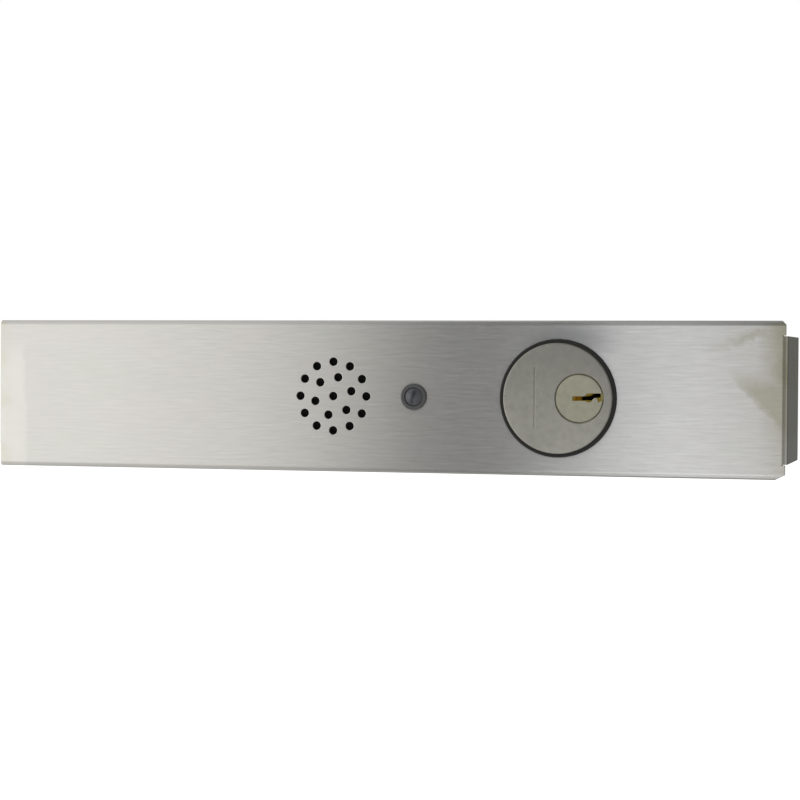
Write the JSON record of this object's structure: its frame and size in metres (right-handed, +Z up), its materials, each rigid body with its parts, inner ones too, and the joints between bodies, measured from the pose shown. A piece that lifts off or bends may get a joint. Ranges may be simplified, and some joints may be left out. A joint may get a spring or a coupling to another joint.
{
  "type": "keyed door alarm control station",
  "caption": "Wall or door mounted rail cover in brushed stainless with a key switch, indicator lamp and sounder grille, closed over a mounting channel that holds the board and switches.",
  "frame": {"origin": "middle of the four mounting holes, in the plane of the back face that lies on the door", "axes": "+X along the cover towards the key cylinder, +Y out of the back into the door, +Z up; the face looks along -Y"},
  "size_m": [0.2384, 0.0363, 0.0444],
  "materials": {
    "stainless": "lengthwise brushed satin",
    "galvanised": "galvanised sheet",
    "satin_nickel": "satin nickel plate",
    "screw_zinc": "bright zinc plate",
    "brass": "machined, slightly dulled",
    "spring_steel": "bright wire and strip",
    "black_rubber": "matt",
    "black_plastic": "fine moulded texture",
    "dark_foam": "closed cell foam",
    "mesh": "fine black mesh",
    "lens": "clear grey-blue moulding",
    "board": "green solder mask",
    "white_nylon": "natural nylon",
    "red_plastic": "red moulding",
    "green_plastic": "green moulding",
    "relay_blue": "blue moulding",
    "sleeve_blue": "shrink sleeve",
    "chip_black": "moulded epoxy",
    "wire_cover": "insulation"
  },
  "bodies": {
    "station": {"front_cover": "stainless", "base_channel": "galvanised", "cover_screws": "screw_zinc", "clinch_nuts": "screw_zinc", "cylinder_collar": "black_rubber", "cylinder_body": "satin_nickel", "driver_pins": "satin_nickel", "pin_springs": "spring_steel", "chamber_cap": "brass", "ring_nut": "screw_zinc", "switch_plate": "galvanised", "plate_screws": "screw_zinc", "upper_switch_case": "black_plastic", "lower_switch_case": "black_plastic", "switch_terminals": "brass", "switch_screws": "screw_zinc", "sounder_case": "black_plastic", "sounder_disc": "brass", "sounder_gasket": "dark_foam", "dust_screen": "mesh", "led_bezel": "black_plastic", "led_lens": "lens", "led_ring": "screw_zinc", "control_board": "board", "board_standoffs": "screw_zinc", "board_screws": "screw_zinc", "relay": "relay_blue", "terminal_block": "green_plastic", "terminal_screws": "screw_zinc", "capacitors": "sleeve_blue", "chips": "chip_black", "wire_headers": "white_nylon", "led_wires": "wire_cover", "switch_wires": "wire_cover", "cable_grommet": "black_rubber"},
    "plug": {"cylinder_plug": "brass", "key_pins": "brass", "cylinder_cam": "galvanised", "cam_screws": "screw_zinc"},
    "upper_lever": {"upper_lever": "spring_steel"},
    "lower_lever": {"lower_lever": "spring_steel"},
    "upper_roller": {"upper_roller": "white_nylon"},
    "lower_roller": {"lower_roller": "white_nylon"},
    "upper_plunger": {"upper_plunger": "red_plastic"},
    "lower_plunger": {"lower_plunger": "red_plastic"}
  },
  "joints": [
    {"name": "plug_turn", "type": "hinge", "parent": "station", "child": "plug", "pos_m": [0.0607, 0, 0], "axis": [0, -1, 0], "range_deg": [-75, 75]},
    {"name": "upper_lever_swing", "type": "hinge", "parent": "station", "child": "upper_lever", "pos_m": [0.0451, -0.0058, 0.009], "axis": [0, -1, 0], "range_deg": [-6, 6]},
    {"name": "lower_lever_swing", "type": "hinge", "parent": "station", "child": "lower_lever", "pos_m": [0.0451, -0.0058, -0.009], "axis": [0, -1, 0], "range_deg": [-6, 6]},
    {"name": "upper_roller_spin", "type": "hinge", "parent": "upper_lever", "child": "upper_roller", "pos_m": [0.0616, -0.0058, 0.00762], "axis": [0, -1, 0], "range_deg": [-190, 190]},
    {"name": "lower_roller_spin", "type": "hinge", "parent": "lower_lever", "child": "lower_roller", "pos_m": [0.0616, -0.0058, -0.00762], "axis": [0, -1, 0], "range_deg": [-190, 190]},
    {"name": "upper_plunger_slide", "type": "slide", "parent": "station", "child": "upper_plunger", "axis": [0, 0, 1], "range_m": [-0.0006, 0.0006]},
    {"name": "lower_plunger_slide", "type": "slide", "parent": "station", "child": "lower_plunger", "axis": [0, 0, 1], "range_m": [-0.0006, 0.0006]}
  ],
  "couplings": [
    {"joint": "upper_lever_swing", "follows": "plug_turn", "ratio": 0.075},
    {"joint": "lower_lever_swing", "follows": "plug_turn", "ratio": 0.075},
    {"joint": "upper_roller_spin", "follows": "plug_turn", "ratio": -2.44},
    {"joint": "lower_roller_spin", "follows": "plug_turn", "ratio": -2.44},
    {"joint": "upper_plunger_slide", "follows": "plug_turn", "m_per_rad": 0.000378},
    {"joint": "lower_plunger_slide", "follows": "plug_turn", "m_per_rad": 0.000378}
  ]
}
